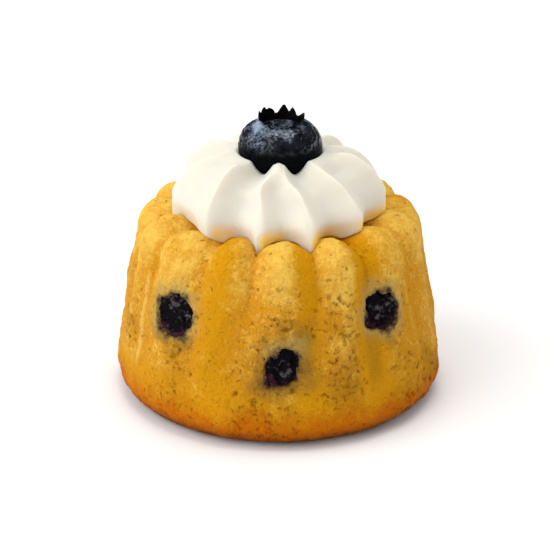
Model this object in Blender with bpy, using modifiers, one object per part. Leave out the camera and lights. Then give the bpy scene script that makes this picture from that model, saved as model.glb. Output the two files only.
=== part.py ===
"""Blueberry bun: a small fluted sponge cake with blueberries baked into its side,
a piped rosette of whipped cream on top, and one whole blueberry on the cream.

Metres, +Z up. The origin is the middle of the flat underside. Angles about the
vertical axis are counted from the front (-Y) towards the right (+X).
"""

import math

import bmesh
import bpy
from mathutils import Vector

MM = 0.001
GAP = 0.3 * MM  # clearance between pieces that touch

# Sponge cake, turned out of a fluted tin
BASE_RADIUS = 35.0 * MM  # widest, just above the foot
FOOT_RADIUS = 5.5 * MM  # rounding between the side and the underside
SHOULDER_RADIUS = 30.4 * MM  # where the side starts to turn over
SHOULDER_HEIGHT = 34.0 * MM
SIDE_BULGE = 0.45 * MM
CREST_RADIUS = 24.3 * MM  # highest ring of the lobes
CREST_HEIGHT = 41.0 * MM
DISH_RADIUS = 14.0 * MM  # shallow dish in the top, under the cream
DISH_HEIGHT = 38.2 * MM
LOBES = 15
LOBE_COLUMNS = 8  # an even number, so that each valley has a column
LOBE_WOBBLE = math.radians(1.4)  # the lobes aren't quite evenly spaced
WOBBLE_WAVES = 7  # about half the lobes, so that neighbours shift opposite ways
WOBBLE_START = -0.5
LOBE_TWIST = math.radians(2.5)  # the lobes turn this far to the right between these heights
TWIST_LOW = 20.0 * MM
TWIST_HIGH = 36.0 * MM
FLUTE_DEPTH = 2.7 * MM  # at the crest; it fades to nothing at the foot
FLUTE_FOOT = 4.0 * MM  # height where a flute ends
FLUTE_END = 13.0 * MM  # radius where a flute ends in the dish
FLUTE_FADE = 1.3
FLUTE_ROUNDNESS = 2.2  # 1 is a straight-sided groove; more makes the lobes rounder

# Whole berry on top, flatter than it is wide
BERRY_RADIUS = 8.8 * MM
BERRY_HEIGHT = 52.9 * MM  # of its widest ring
BERRY_ABOVE = 6.4 * MM  # from its widest ring to its top
BERRY_BELOW = 5.7 * MM  # and to its foot
BERRY_SQUARENESS = 2.4  # 2 is an ellipse
BERRY_RIGHT = 0.27 * MM  # how far to the right of the cake's middle it sits
BERRY_COLUMNS = 42
CROWN_RADIUS = 4.8 * MM  # the dried flower on the berry
CROWN_WALL = 0.9 * MM
CROWN_FLOOR = 57.2 * MM
CROWN_FLARE = 0.25
# Its points: the angle, the height above its rim in millimetres and the half width in degrees of each
CROWN_POINTS = (
    (-131, 2.15, 14),
    (-150, 1.5, 16),
    (-112, 1.5, 14),
    (-60, 0.9, 35),
    (45, 0.3, 20),
    (72, 0.85, 32),
    (100, 1.6, 26),
    (146, 1.8, 15),
    (171, 2.45, 17),
)

# Whipped cream, piped with a star nozzle. Of each ridge: its angle at the berry and at its foot and how far
# it swings between them, in degrees, how far its back and its foot stand out from the dome, in millimetres,
# and how deep the flute after it is at the rim and at the foot, as shares
RIDGES = (
    (-150, -150, 0, 0.5, 0.0, 0.6, 1.0),
    (-117, -117, 0, 0.9, 0.4, 0.1, 1.0),
    (-80, -84, 0, 0.1, 0.2, 0.0, 0.4),
    (-43, -39.5, 0, 0.8, 1.0, 1.0, 1.0),
    (-7, -10, -5, -1.3, 1.0, -0.14, 1.0),
    (3, 16.5, 0.5, -1.3, 1.2, 1.0, 1.0),
    (40, 46, 0, -0.5, 0.8, 0.0, 0.9),
    (78, 77, 0, 1.2, -0.4, 0.1, 0.8),
    (108, 109, 0, -0.1, 0.3, 0.6, 1.0),
    (135, 137, 0, 0.4, 0.0, 0.6, 1.0),
    (173, 175, 0, 0.4, 0.3, 0.6, 1.0),
)
RIDGE_COLUMNS = 10
DOME_CENTRE = 11.5 * MM  # the ridges' backs are arcs about this radius and height
DOME_FOOT = 41.0 * MM
DOME_RADIUS = 11.0 * MM
DOME_BLEND = 4.0 * MM  # a ridge turns from its foot into its back over this height
CREAM_FLUTE = 2.7 * MM
FLUTE_LIP = 0.95  # a flute's depth where it meets the cake, as a share of its full depth
FLUTE_WIDTH = 28  # degrees; a narrower flute is shallower
CREAM_RIM = 9.8 * MM  # radius of the ridges' inner ends, round the berry
RIDGE_RIM = DOME_FOOT + DOME_RADIUS + 0.3 * MM  # and their height
RIM_BLEND = 5.0 * MM
CREAM_CONTACT = 21.9 * MM  # where a ridge meets the cake
DRAPE_TOP = 45.0 * MM  # the cream follows the cake's top below this
UNDERSIDE = DISH_HEIGHT + GAP
WELL_DROP = 0.15 * MM  # how far the well's edge on the berry lies below the rim

# Berries baked into the side: the angle, the height in millimetres and the size of each
BAKED = {
    "left": (-43, 25.1, 1.0),
    "front": (1.3, 17.8, 0.86),
    "right": (42.6, 26.2, 0.93),
    "back_right": (118, 20.5, 1.0),
    "back": (171, 26.5, 0.96),
    "back_left": (-125, 22.0, 1.05),
}
BAKED_RADIUS = 5.4 * MM
BAKED_SINK = 2.9 * MM  # depth of a baked berry's middle below the crust
BAKED_INSET = 0.5 * MM  # its burst face lies this far below the crust

# Colour and roughness of each material
FINISHES = {
    "sponge": ((0.80, 0.50, 0.11), 0.75),
    "cream": ((0.92, 0.89, 0.82), 0.45),
    "berry": ((0.02, 0.025, 0.06), 0.35),
    "baked_berry": ((0.025, 0.012, 0.03), 0.5),
}


def smooth(t):
    """0 below 0, 1 above 1, and an S-curve between them."""
    t = min(1.0, max(0.0, t))
    return t * t * (3 - 2 * t)


def mix(a, b, share):
    return a + (b - a) * share


def inner_rings(radius, count):
    """Radii of the rings inside this one, from the smallest, closer together near the edge."""
    return [radius * (step / (count + 1)) ** 0.6 for step in range(1, count + 1)]


def material(name):
    colour, roughness = FINISHES[name]
    made = bpy.data.materials.new(name)
    made.use_nodes = True
    surface = made.node_tree.nodes["Principled BSDF"]
    surface.inputs["Base Color"].default_value = (*colour, 1)
    surface.inputs["Roughness"].default_value = roughness
    surface.inputs["Metallic"].default_value = 0
    return made


def collection(name):
    made = bpy.data.collections.new(name)
    bpy.context.scene.collection.children.link(made)
    return made


def turned(name, profile, steps, place):
    """A closed solid turned about Z. The profile's (radius, height) points run from the
    top of the axis, down the outer side, to the foot of the axis."""
    mesh = bpy.data.meshes.new(name)
    edges = [(i, i + 1) for i in range(len(profile) - 1)]
    mesh.from_pydata([(r, 0, z) for r, z in profile], edges, [])
    line = bpy.data.objects.new(name + "_line", mesh)
    place.objects.link(line)
    screw = line.modifiers.new("turn", "SCREW")
    screw.steps = screw.render_steps = steps
    screw.use_merge_vertices = True
    screw.merge_threshold = 0.00001
    graph = bpy.context.evaluated_depsgraph_get()
    solid = bpy.data.meshes.new_from_object(line.evaluated_get(graph))
    bpy.data.objects.remove(line)
    obj = bpy.data.objects.new(name, solid)
    place.objects.link(obj)
    return obj


def reshape(obj, rule):
    """Moves each vertex to where rule(angle, radius, height) says, as a new angle, radius and height."""
    for vertex in obj.data.vertices:
        x, y, z = vertex.co
        angle, radius, height = rule(math.atan2(x, -y), math.hypot(x, y), z)
        vertex.co = (radius * math.sin(angle), -radius * math.cos(angle), height)
    obj.data.update()


def finish(obj, name):
    obj.data.materials.clear()
    obj.data.materials.append(bpy.data.materials[name])
    obj.data.shade_smooth()
    obj.data.set_sharp_from_angle(angle=math.radians(50))


def boolean(obj, other, operation):
    cut = obj.modifiers.new(other.name, "BOOLEAN")
    cut.operation = operation
    cut.solver = "EXACT"
    cut.object = other


def cutter(obj):
    obj.hide_render = True
    obj.display_type = "WIRE"
    return obj


# ---------------------------------------------------------------- sponge cake


def top_height(radius):
    """Height of the cake's top along a lobe, from the dish to the crest."""
    return mix(DISH_HEIGHT, CREST_HEIGHT, smooth((radius - DISH_RADIUS) / (CREST_RADIUS - DISH_RADIUS)))


def shoulder_point(share):
    """(radius, height) on the quarter ellipse from the crest, at 0, to the side, at 1."""
    turn = math.pi / 2 * share
    radius = mix(CREST_RADIUS, SHOULDER_RADIUS, math.sin(turn))
    return radius, mix(SHOULDER_HEIGHT, CREST_HEIGHT, math.cos(turn))


def side_point(share):
    """(radius, height) on the slightly bulging side, from the shoulder, at 0, to the foot, at 1."""
    radius = mix(SHOULDER_RADIUS, BASE_RADIUS, share) + SIDE_BULGE * 4 * share * (1 - share)
    return radius, mix(SHOULDER_HEIGHT, FOOT_RADIUS, share)


def foot_point(share):
    """(radius, height) on the rounded foot, from the side, at 0, to the underside, at 1."""
    turn = math.pi / 2 * share
    return BASE_RADIUS - FOOT_RADIUS * (1 - math.cos(turn)), FOOT_RADIUS * (1 - math.sin(turn))


def crust_profile():
    """The cake's outline along a lobe."""
    top = [(0, DISH_HEIGHT)] + [(radius, top_height(radius)) for radius in inner_rings(CREST_RADIUS, 5)]
    shoulder = [shoulder_point(step / 5) for step in range(5)]
    side = [side_point(step / 8) for step in range(8)]
    foot = [foot_point(step / 4) for step in range(5)]
    return top + shoulder + side + foot + [(0, 0)]


def wobbled(angle, height):
    """The angle, shifted so that each lobe has its own width, and turned with the lobes at this height."""
    twist = LOBE_TWIST * smooth((height - TWIST_LOW) / (TWIST_HIGH - TWIST_LOW))
    return angle + twist + LOBE_WOBBLE * math.sin(WOBBLE_WAVES * angle + WOBBLE_START)


def valley(angle):
    """0 at a lobe's crest and 1 in the valley between two lobes, for an angle before the wobble."""
    lobes = angle * LOBES / math.tau
    return (2 * abs(lobes - round(lobes))) ** FLUTE_ROUNDNESS


def flute_depth(radius, height):
    """How deep a flute is cut at this point of the outline."""
    if radius < CREST_RADIUS and height > SHOULDER_HEIGHT:
        return FLUTE_DEPTH * smooth((radius - FLUTE_END) / (CREST_RADIUS - FLUTE_END))
    up = max(0.0, (height - FLUTE_FOOT) / (CREST_HEIGHT - FLUTE_FOOT))
    return FLUTE_DEPTH * up**FLUTE_FADE


def outward(radius, height):
    """The outline's outward direction, as (radial, up)."""
    if height < FOOT_RADIUS:
        reach = radius - (BASE_RADIUS - FOOT_RADIUS)
        return (0.0, -1.0) if reach <= 0 else (reach / FOOT_RADIUS, (height - FOOT_RADIUS) / FOOT_RADIUS)
    if height <= SHOULDER_HEIGHT:
        return 1.0, 0.0
    if radius <= CREST_RADIUS:
        return 0.0, 1.0
    across = (radius - CREST_RADIUS) / (SHOULDER_RADIUS - CREST_RADIUS) ** 2
    rise = (height - SHOULDER_HEIGHT) / (CREST_HEIGHT - SHOULDER_HEIGHT) ** 2
    size = math.hypot(across, rise)
    return across / size, rise / size


def crust(name, inset, place):
    """The whole cake, with its surface set in by inset."""

    def cut_flutes(angle, radius, height):
        cut = flute_depth(radius, height) * valley(angle) + inset
        radial, up = outward(radius, height)
        return wobbled(angle, height), max(0.0, radius - cut * radial), height - cut * up

    obj = turned(name, crust_profile(), LOBES * LOBE_COLUMNS, place)
    reshape(obj, cut_flutes)
    finish(obj, "sponge")
    return obj


def cake_top(angle, radius):
    """Height of the fluted top at any angle, inside the crest."""
    before = angle
    for _ in range(3):  # undoes the wobble
        before = angle - (wobbled(before, CREST_HEIGHT) - before)
    return top_height(radius) - flute_depth(radius, CREST_HEIGHT) * valley(before)


# ------------------------------------------------------------ berry on top


def berry_point(turn, gap=0.0):
    """(radius, height) at this turn from the top of the berry, on its skin or a gap outside it."""
    out = math.sin(turn) ** (2 / BERRY_SQUARENESS)
    up = math.copysign(abs(math.cos(turn)) ** (2 / BERRY_SQUARENESS), math.cos(turn))
    half = BERRY_ABOVE if up > 0 else BERRY_BELOW
    return (BERRY_RADIUS + gap) * out, BERRY_HEIGHT + (half + gap) * up


def crown_rim():
    """Height of the dried flower's rim, between its points."""
    up = (1 - (CROWN_RADIUS / BERRY_RADIUS) ** BERRY_SQUARENESS) ** (1 / BERRY_SQUARENESS)
    return BERRY_HEIGHT + BERRY_ABOVE * up + 0.1 * MM


def berry_profile():
    """The berry's outline, from the sunken floor of its dried flower."""
    inner = CROWN_RADIUS - CROWN_WALL
    floor = [(0, CROWN_FLOOR), (inner * 0.7, CROWN_FLOOR), (inner, CROWN_FLOOR + 0.5 * MM)]
    rim = [(inner + CROWN_WALL / 2, crown_rim())]
    first = math.asin((CROWN_RADIUS / BERRY_RADIUS) ** (BERRY_SQUARENESS / 2))
    skin = [berry_point(mix(first, math.pi, step / 14)) for step in range(14)]
    return floor + rim + skin + [(0, BERRY_HEIGHT - BERRY_BELOW)]


def crown_rise(angle):
    """How far the dried flower's points stand above its rim at this angle."""
    rise = 0.0
    for centre, height, half_width in CROWN_POINTS:
        off = abs((math.degrees(angle) - centre + 180) % 360 - 180)
        rise = max(rise, height * MM * max(0.0, 1 - off / half_width) ** 0.8)
    return rise


def raise_crown(angle, radius, height):
    """Lifts the rim of the dried flower into its points."""
    if radius < CROWN_RADIUS and abs(height - crown_rim()) < 0.05 * MM:
        rise = crown_rise(angle)
        return angle, radius + CROWN_FLARE * rise, height + rise
    return angle, radius, height


def berry(place):
    obj = turned("berry", berry_profile(), BERRY_COLUMNS, place)
    reshape(obj, raise_crown)
    finish(obj, "berry")
    obj.location.x = BERRY_RIGHT


# ------------------------------------------------------------- whipped cream


def dome_point(share):
    """(radius, height) on the arc of a ridge's back, from its top, at 0, to its foot, at 1."""
    turn = math.pi / 2 * share
    return DOME_CENTRE + DOME_RADIUS * math.sin(turn), DOME_FOOT + DOME_RADIUS * math.cos(turn)


def well_reach(rim):
    """How far the well reaches up round the berry, below this height of the rim: a share of half a turn."""
    down = (BERRY_HEIGHT - rim + WELL_DROP) / (BERRY_BELOW + GAP)
    return 1 - math.acos(-max(0.0, down) ** (BERRY_SQUARENESS / 2)) / math.pi


def cream_profile():
    """A ridge's outline, from the bottom of the berry's well over the dome to the underside."""
    reach = well_reach(RIDGE_RIM)
    well = [berry_point(math.pi * (1 - reach * step / 6), GAP) for step in range(7)]
    rim = [(CREAM_RIM, RIDGE_RIM)]
    back = [dome_point(step / 9) for step in range(10)]
    toe = [(CREAM_CONTACT + 0.5 * MM, UNDERSIDE + 0.4 * MM), (CREAM_CONTACT, UNDERSIDE)]
    under = [(radius, UNDERSIDE) for radius in reversed(inner_rings(CREAM_CONTACT, 5))]
    return well + rim + back + toe + under + [(0, UNDERSIDE)]


def ridge_at(angle, radius):
    """Moves evenly spaced columns so that the ridges lie where they were piped. Returns the new angle, how
    far the back and the foot stand out from the dome, and the flute's depth: 0 on a ridge, and 1 midway
    between two where it is deepest."""
    place = (angle / math.tau) % 1 * len(RIDGES)
    first = int(place)
    across = place - first
    lean = smooth((radius - CREAM_RIM) / (CREAM_CONTACT - CREAM_RIM))
    swing = 4 * lean * (1 - lean)
    inner, outer, bow, back, foot, rim_share, foot_share = RIDGES[first % len(RIDGES)]
    next_inner, next_outer, next_bow, next_back, next_foot, _, _ = RIDGES[(first + 1) % len(RIDGES)]
    here = mix(inner, outer, lean) + bow * swing
    there = mix(next_inner, next_outer, lean) + next_bow * swing
    there += 360 if there < here else 0
    full = foot_share * min(1.0, (there - here) / FLUTE_WIDTH) ** 2
    flute = mix(rim_share, full, smooth((radius - CREAM_RIM) / RIM_BLEND)) * math.sin(math.pi * across)
    angle = math.radians(mix(here, there, across))
    return angle, mix(back, next_back, across) * MM, mix(foot, next_foot, across) * MM, flute


def well_turn(radius, height, flute):
    """The turn from the berry's top to a point of the well, which ends lower between two ridges."""
    out = (radius / (BERRY_RADIUS + GAP)) ** (BERRY_SQUARENESS / 2)
    down = ((BERRY_HEIGHT - height) / (BERRY_BELOW + GAP)) ** (BERRY_SQUARENESS / 2)
    share = well_reach(RIDGE_RIM - CREAM_FLUTE * flute) / well_reach(RIDGE_RIM)
    return math.pi - math.atan2(out, down) * share


def pipe_cream(angle, radius, height):
    """Cuts the flutes between the ridges and lays the cream's underside on the cake."""
    angle, back, foot, flute = ridge_at(angle, radius)
    if height < UNDERSIDE + 0.01 * MM:
        radius *= 1 + (foot - FLUTE_LIP * CREAM_FLUTE * flute) / CREAM_CONTACT
        return angle, radius, cake_top(angle, radius) + GAP
    if radius < CREAM_RIM - 0.1 * MM:
        return angle, *berry_point(well_turn(radius, height, flute), GAP)
    out, rise = max(0.0, radius - DOME_CENTRE), max(0.0, height - DOME_FOOT)
    size = math.hypot(out, rise)
    back *= smooth((radius - CREAM_RIM) / RIM_BLEND)
    lift = mix(foot, back, smooth(rise / DOME_BLEND)) - CREAM_FLUTE * flute
    radius += lift * out / size
    height += lift * rise / size
    droop = 1 - smooth((height - UNDERSIDE) / (DRAPE_TOP - UNDERSIDE))
    height += droop * (cake_top(angle, min(radius, CREST_RADIUS)) + GAP - UNDERSIDE)
    return angle, radius, height


def cream(place):
    """The cream, whose middle is shifted to the right with the berry."""
    obj = turned("cream", cream_profile(), len(RIDGES) * RIDGE_COLUMNS, place)
    reshape(obj, pipe_cream)
    for vertex in obj.data.vertices:
        x, y, _ = vertex.co
        vertex.co.x += BERRY_RIGHT * (1 - smooth((math.hypot(x, y) - CREAM_RIM) / RIM_BLEND))
    finish(obj, "cream")


# ------------------------------------------------- berries baked into the side


def baked_centre(angle, height):
    """The middle of a baked berry, sunk below the cake's side."""
    down = (SHOULDER_HEIGHT - height) / (SHOULDER_HEIGHT - FOOT_RADIUS)
    radius = side_point(down)[0] - BAKED_SINK
    return Vector((radius * math.sin(angle), -radius * math.cos(angle), height))


def ball(name, centre, radius, place):
    bm = bmesh.new()
    bmesh.ops.create_icosphere(bm, subdivisions=2, radius=radius)
    bmesh.ops.translate(bm, verts=bm.verts, vec=centre)
    mesh = bpy.data.meshes.new(name)
    bm.to_mesh(mesh)
    bm.free()
    obj = bpy.data.objects.new(name, mesh)
    place.objects.link(obj)
    return obj


def bake_berries(cake, place, cutters):
    """Each baked berry is a ball whose burst face follows the cake's side, in a pocket of the cake."""
    skin = cutter(crust("inset_crust", BAKED_INSET, cutters))
    for name, (degrees, height, size) in BAKED.items():
        centre = baked_centre(math.radians(degrees), height * MM)
        baked = ball("baked_berry_" + name, centre, BAKED_RADIUS * size, place)
        finish(baked, "baked_berry")
        boolean(baked, skin, "INTERSECT")
        pocket = cutter(ball("pocket_" + name, centre, BAKED_RADIUS * size + GAP, cutters))
        boolean(cake, pocket, "DIFFERENCE")


def main():
    for obj in list(bpy.data.objects):
        bpy.data.objects.remove(obj)
    for name in FINISHES:
        material(name)
    place = collection("blueberry_bun")
    cutters = collection("cutters")
    cake = crust("cake", 0.0, place)
    bake_berries(cake, place, cutters)
    cream(place)
    berry(place)


main()
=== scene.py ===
"""Looks of the blueberry bun: crumb, whipped cream, the whole blueberry and the baked ones, on a white stage.

Lengths are in metres, +Z up. Angles about the vertical axis are counted from the front (-Y) towards the right
(+X). Every surface is a grid of points: its rows run from the middle of the top down the outer side to the
middle of the underside, and its columns run round the axis, anticlockwise seen from above.
"""

import itertools
import math

import bpy
import numpy as np
from bpy.props import FloatProperty, FloatVectorProperty, IntProperty, PointerProperty
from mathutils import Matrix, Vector


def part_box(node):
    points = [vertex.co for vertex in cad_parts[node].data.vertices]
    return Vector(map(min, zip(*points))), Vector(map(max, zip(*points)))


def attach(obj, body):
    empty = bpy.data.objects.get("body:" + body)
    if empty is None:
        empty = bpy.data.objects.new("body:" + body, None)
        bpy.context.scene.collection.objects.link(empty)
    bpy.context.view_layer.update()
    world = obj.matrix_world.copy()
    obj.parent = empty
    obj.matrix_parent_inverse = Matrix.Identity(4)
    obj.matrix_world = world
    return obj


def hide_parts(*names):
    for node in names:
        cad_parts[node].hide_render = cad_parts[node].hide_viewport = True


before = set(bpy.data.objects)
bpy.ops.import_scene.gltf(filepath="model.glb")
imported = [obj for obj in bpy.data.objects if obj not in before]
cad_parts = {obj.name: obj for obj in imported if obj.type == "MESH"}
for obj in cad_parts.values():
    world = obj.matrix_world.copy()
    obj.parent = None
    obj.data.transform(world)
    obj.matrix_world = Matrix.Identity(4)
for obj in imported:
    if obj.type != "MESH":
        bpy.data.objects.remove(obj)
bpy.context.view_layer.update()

bl_info = {
    "name": "Blueberry bun",
    "version": (1, 0, 0),
    "blender": (4, 5, 0),
    "location": "3D View > Sidebar > Bun",
    "description": "Makes a fluted sponge cake with baked blueberries, whipped cream and a whole blueberry",
    "category": "Object",
}

MM = 0.001
CAKE_LOW, CAKE_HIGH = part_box("cake")
CREAM_LOW, CREAM_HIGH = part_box("cream")
BERRY_LOW, BERRY_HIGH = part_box("berry")
BERRY_RIGHT = (BERRY_LOW.x + BERRY_HIGH.x) / 2  # how far to the right of the cake's middle the blueberry sits

# Shapes that the frame's solids share with these pieces
LOBE_WOBBLE = math.radians(1.4)
WOBBLE_WAVES = 7
WOBBLE_START = -0.5
LOBE_TWIST = math.radians(2.5)  # the lobes turn this far to the right between these heights
TWIST_LOW = 20.0 * MM
TWIST_HIGH = 36.0 * MM
FLUTE_FOOT = 4.0 * MM
FLUTE_END = 13.0 * MM
FLUTE_FADE = 1.3
FLUTE_ROUNDNESS = 2.2
CREASE = 0.9  # how sharp the crease between two lobes is above the upper height, and it ends at the lower
CREASE_LOW = 19.0 * MM
CREASE_HIGH = 37.0 * MM
SIDE_BULGE = 0.45 * MM
DISH_RADIUS = 14.0 * MM
BERRY_SQUARENESS = 2.4
GAP = 0.3 * MM

# Of each ridge of the cream: its angle at the berry and at its foot and how far it swings between them, in
# degrees, how far its back and its foot stand out from the dome, in millimetres, and how deep the flute after
# it is at the rim and at the foot, as shares
RIDGES = (
    (-150, -150, 0, 0.5, 0.0, 0.6, 1.0),
    (-117, -117, 0, 0.9, 0.4, 0.1, 1.0),
    (-80, -84, 0, 0.1, 0.2, 0.0, 0.7),
    (-43, -39.5, 0, 0.8, 1.0, 1.0, 1.0),
    (-7, -10, -5, -1.3, 1.0, -0.14, 1.0),
    (3, 16.5, 0.5, -1.3, 1.2, 1.0, 1.0),
    (40, 46, 0, -0.5, 0.8, 0.0, 0.9),
    (78, 77, 0, 1.2, 0.5, 0.1, 0.8),
    (108, 109, 0, -0.1, 0.3, 0.6, 1.0),
    (135, 137, 0, 0.4, 0.0, 0.6, 1.0),
    (173, 175, 0, 0.4, 0.3, 0.6, 1.0),
)
RIDGE_COLUMNS = 60
FLUTE_WIDTH = 28  # degrees between two ridges from which the flute has its full depth
RIM_ROUNDING = 0.3  # how round a ridge is at the rim, where 0 would be a sharp edge
RIDGE_ROUNDING = 0.04  # how round it is outside the rim
RIM_BLEND = 5.0 * MM
DOME_BLEND = 8.0 * MM
FLARE_LEFT = 0.4  # what is left of a ridge's flare at the foot midway to the next ridge
FOOT_WIDENING = 0.35  # how much blunter a ridge is at its foot
WELL_DROP = 0.15 * MM  # how far the well's edge on the berry lies below the rim
WELL_GAP = 0.05 * MM  # between the berry and the well
WELL_ARCH = 0.2 * MM  # how high the cream arches from the well's edge to the ridges
TUCK_HEIGHT = 3.0 * MM  # the cream's edge turns in below this height over the lobes
OVERLAP = 0.2 * MM  # the cream's underside lies this deep in the cake
SHADE = (0.72, 0.26, -0.64)  # the direction that faces away from the key light, for the painted bounce light and shade on the cream
BOUNCE_HEIGHT = 2.7 * MM  # painted warm bounce light from the crumb, on cream below this height over the lobes that faces down and away from the key light

# Of each point of the blueberry's dried flower: its angle, its height in millimetres, its half width in
# degrees, how far it leans outwards, as a share of its height, and how sharp it is, from 0.3, blunt, to 1
CROWN_POINTS = (
    (-132, 2.1, 15, 0.1, 0.4),
    (-148, 1.65, 18, 0.1, 0.3),
    (-114, 1.6, 12, 0.25, 0.6),
    (-60, 0.9, 35, 0.1, 0.6),
    (45, 0.3, 20, 0.0, 0.6),
    (72, 0.85, 32, 0.15, 0.7),
    (100, 1.6, 26, 0.4, 0.8),
    (146, 1.8, 16, 0.2, 0.8),
    (170, 2.45, 21, 0.1, 0.95),
)
CROWN_BACK = 0.45 * MM  # how much higher the rim is behind than in front
CROWN_WALL = 0.9 * MM
CROWN_BOWL = 0.5 * MM  # how much higher the dried flower's floor is at its edge than in the middle
CROWN_FOOT = 0.25 * MM  # how much wider the dried flower is where it meets the skin

# Of each dent in the blueberry's skin: its angle in degrees, its height and its radius in millimetres
DENTS = (
    (-24, 56.6, 1.5),
    (-38, 57.6, 1.1),
    (-55, 55.4, 1.6),
    (62, 55.0, 1.4),
    (140, 55.5, 1.6),
    (-110, 54.6, 1.3),
)

# Of each patch of bloom on the blueberry: its angle in degrees, its height and its radius in millimetres, and
# how thick it is. The patch at -36 degrees lies where the key light's broad highlight falls, and is partly a
# painted highlight.
BLOOM = (
    (-78, 58.6, 2.0, 1.0),
    (-52, 58.2, 1.7, 0.95),
    (-115, 58.9, 1.8, 0.9),
    (-15, 58.4, 1.5, 0.6),
    (-36, 56.2, 2.4, 0.7),
    (10, 58.1, 1.5, 0.55),
    (14, 56.9, 1.0, 0.35),
    (35, 58.7, 1.0, 0.4),
    (60, 58.4, 1.4, 0.4),
    (100, 58.3, 1.6, 0.5),
    (140, 58.2, 1.8, 0.8),
    (-160, 58.4, 2.0, 0.8),
)

# Of each berry baked into the side: its angle in degrees, the half width and half height of its torn mouth in
# millimetres, how far the mouth is turned clockwise in degrees, and its outline, from 1, a diamond, to 2, an
# oval
BAKED = {
    "left": (-43, 4.3, 4.4, -12, 2.0),
    "front": (1.3, 3.4, 4.6, 38, 1.5),
    "right": (42.6, 4.1, 4.1, 5, 1.9),
    "back_right": (118, 4.9, 4.4, 20, 1.8),
    "back": (171, 4.5, 4.5, -30, 1.6),
    "back_left": (-125, 4.8, 5.2, 10, 2.0),
}

# Of each raised seam that the tin left in the side: its angle and the width of the angle that it covers, in
# degrees, its lowest and highest point and how far it stands out, in millimetres
SEAMS = ((-61, 1.8, 8, 33, 0.45), (58.5, 1.6, 8, 34, 0.4), (131, 1.0, 10, 30, 0.4), (-158, 1.0, 7, 28, 0.4))
TALLEST_SEAM = 0.45 * MM

# Of each smooth, deeply coloured band of the crust, partly uneven baking and partly painted shade on the
# flanks and
# flutes that face away from the key light: its angle and half width in degrees, and how deep it is
RICH_AND_SHADE = (
    (-24, 8, 1.0),
    (11, 6, 1.1),
    (36, 6, 1.45),
    (50, 9, 0.45),
    (60, 4, 0.5),
    (-50, 5, 0.35),
    (100, 8, 0.8),
    (-148, 8, 0.9),
)

# Distances from a baked berry's middle, as shares of the way to the edge of its mouth
STAIN_REACH = 2.2
PORES_REACH = 2.4
DAMP_REACH = 3.2  # of the low berry alone
DAMP_FULL = 1.4

# Sizes of the relief: how far apart its bumps are
LUMP_SIZE = 10 * MM
CRUMB_SIZE = 2.4 * MM
PORE_SPACING = 1.5 * MM
TEAR_SIZE = 3.0 * MM
TEAR_DEPTH = 1.1 * MM  # how far the tears bend the edge of a baked berry's mouth
CREAM_SIZE = 7 * MM
WRINKLE_SIZE = 2.8 * MM
GRAIN_SIZE = 1.0 * MM  # on the blueberry's skin and its dried flower
FOLD_SIZE = 2.6 * MM

LATTICE = 64  # cells each way before a random pattern repeats
BERRY_COLUMNS = 360
BAKED_COLUMNS = 120
FLOOR_COLUMNS = 48
FLOOR_RADIUS = 6.0


# ---- settings


def length(name, description, default):
    return FloatProperty(name=name, description=description, default=default, unit="LENGTH", precision=5)


def number(name, description, default):
    return FloatProperty(name=name, description=description, default=default)


def colour(name, description, default):
    bounds = {"min": 0, "max": 1}
    return FloatVectorProperty(name=name, description=description, default=default, subtype="COLOR", **bounds)


class SpongeSettings(bpy.types.PropertyGroup):
    """Sizes and colours of the fluted sponge cake."""

    base_radius: length("Base radius", "Widest radius, just above the foot", CAKE_HIGH.x)
    crest_height: length("Crest height", "Height of the lobes", CAKE_HIGH.z)
    crest_radius: length("Crest radius", "Radius of the highest ring of the lobes", 24.3 * MM)
    dish_height: length("Dish height", "Height of the dish under the cream", 38.2 * MM)
    shoulder_radius: length("Shoulder radius", "Radius where the side turns over", 30.4 * MM)
    shoulder_height: length("Shoulder height", "Height where the side turns over", 34.0 * MM)
    foot_radius: length("Foot radius", "Rounding between the side and the underside", 5.5 * MM)
    flute_depth: length("Flute depth", "Depth of the flutes at the crest", 2.7 * MM)
    lobes: IntProperty(name="Lobes", description="Number of lobes round the cake", default=15)
    columns: IntProperty(name="Columns", description="Points round the cake", default=600)
    unevenness: length("Unevenness", "Depth of the broad lumps in the crust", 0.45 * MM)
    crumb: length("Crumb", "Depth of the fine relief of the crumb", 0.20 * MM)
    pore_depth: length("Pore depth", "Depth of the open pores", 0.45 * MM)
    pocket_depth: length("Pocket depth", "Depth of the torn pocket round a baked blueberry", 2.3 * MM)
    crest_colour: colour("Crest colour", "Crumb on the lobes", (0.885, 0.538, 0.082))
    # partly painted shade: laid in the flutes, where shade falls between the lobes
    flank_colour: colour("Flank colour", "Crumb in the flutes", (0.69, 0.288, 0.008))
    pale_colour: colour("Pale colour", "Grains that stand out of the crumb", (0.905, 0.62, 0.155))
    olive_colour: colour("Olive colour", "Open crumb low on the side", (0.40, 0.18, 0.006))
    foot_colour: colour("Foot colour", "Browned crust at the foot", (0.54, 0.137, 0))
    edge_colour: colour("Edge colour", "Darkest crust, at the very bottom", (0.13, 0.03, 0.001))
    # in the bands partly painted shade; also laid low on the side
    rich_colour: colour("Rich colour", "Smooth crust in the deeply coloured bands", (0.67, 0.298, 0.002))
    pore_colour: colour("Pore colour", "Shaded inside of a pore", (0.25, 0.092, 0.002))
    halo_colour: colour("Halo colour", "Crumb stained lightly with juice", (0.47, 0.335, 0.1))
    dull_colour: colour("Dull colour", "Crumb stained lightly with juice, low down", (0.25, 0.14, 0.022))
    stain_colour: colour("Stain colour", "Crumb stained dark with juice", (0.022, 0.01, 0.016))


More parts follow.
